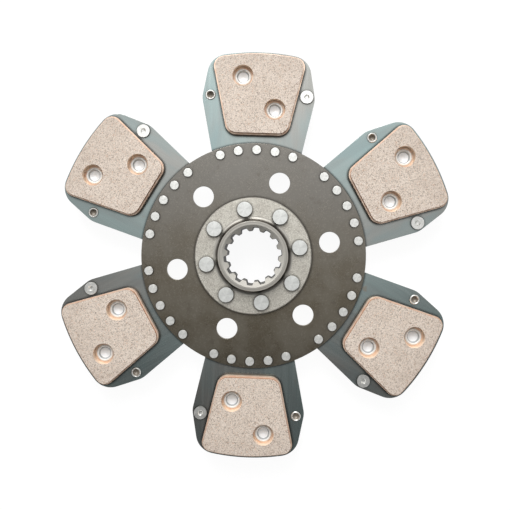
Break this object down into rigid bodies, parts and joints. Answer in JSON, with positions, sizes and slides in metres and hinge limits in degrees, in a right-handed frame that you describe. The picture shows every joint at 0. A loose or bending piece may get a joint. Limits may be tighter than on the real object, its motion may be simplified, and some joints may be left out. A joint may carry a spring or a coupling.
{
  "type": "clutch disc",
  "caption": "Rigid-hub clutch disc: splined flanged hub, drive plate and cushioned paddles with sintered friction pads on both faces.",
  "frame": {"origin": "on the disc's axis, in the plane of the hub's rear end", "axes": "+Z along the disc's axis towards the flange side of the hub, +Y along the middle of the first paddle"},
  "size_m": [0.3138, 0.332, 0.036],
  "materials": {
    "forging": "shot-blasted forging",
    "plate": "oiled dark steel",
    "spring_steel": "satin blue-grey",
    "copper_plated": "copper-plated",
    "sintered": "matte, fine grain",
    "hub_rivet": "zinc-plated",
    "zinc_rivet": "zinc-plated",
    "bright_rivet": "bright-plated"
  },
  "bodies": {
    "root": {"hub": "forging", "drive_plate": "plate", "hub_rivets": "hub_rivet", "front_segment_1": "spring_steel", "rear_segment_1": "spring_steel", "front_backing_1": "copper_plated", "rear_backing_1": "copper_plated", "front_friction_1": "sintered", "rear_friction_1": "sintered", "segment_rivets_1": "zinc_rivet", "pad_rivets_1": "bright_rivet", "stop_rivets_1": "zinc_rivet", "front_segment_2": "spring_steel", "rear_segment_2": "spring_steel", "front_backing_2": "copper_plated", "rear_backing_2": "copper_plated", "front_friction_2": "sintered", "rear_friction_2": "sintered", "segment_rivets_2": "zinc_rivet", "pad_rivets_2": "bright_rivet", "stop_rivets_2": "zinc_rivet", "front_segment_3": "spring_steel", "rear_segment_3": "spring_steel", "front_backing_3": "copper_plated", "rear_backing_3": "copper_plated", "front_friction_3": "sintered", "rear_friction_3": "sintered", "segment_rivets_3": "zinc_rivet", "pad_rivets_3": "bright_rivet", "stop_rivets_3": "zinc_rivet", "front_segment_4": "spring_steel", "rear_segment_4": "spring_steel", "front_backing_4": "copper_plated", "rear_backing_4": "copper_plated", "front_friction_4": "sintered", "rear_friction_4": "sintered", "segment_rivets_4": "zinc_rivet", "pad_rivets_4": "bright_rivet", "stop_rivets_4": "zinc_rivet", "front_segment_5": "spring_steel", "rear_segment_5": "spring_steel", "front_backing_5": "copper_plated", "rear_backing_5": "copper_plated", "front_friction_5": "sintered", "rear_friction_5": "sintered", "segment_rivets_5": "zinc_rivet", "pad_rivets_5": "bright_rivet", "stop_rivets_5": "zinc_rivet", "front_segment_6": "spring_steel", "rear_segment_6": "spring_steel", "front_backing_6": "copper_plated", "rear_backing_6": "copper_plated", "front_friction_6": "sintered", "rear_friction_6": "sintered", "segment_rivets_6": "zinc_rivet", "pad_rivets_6": "bright_rivet", "stop_rivets_6": "zinc_rivet"}
  },
  "joints": []
}
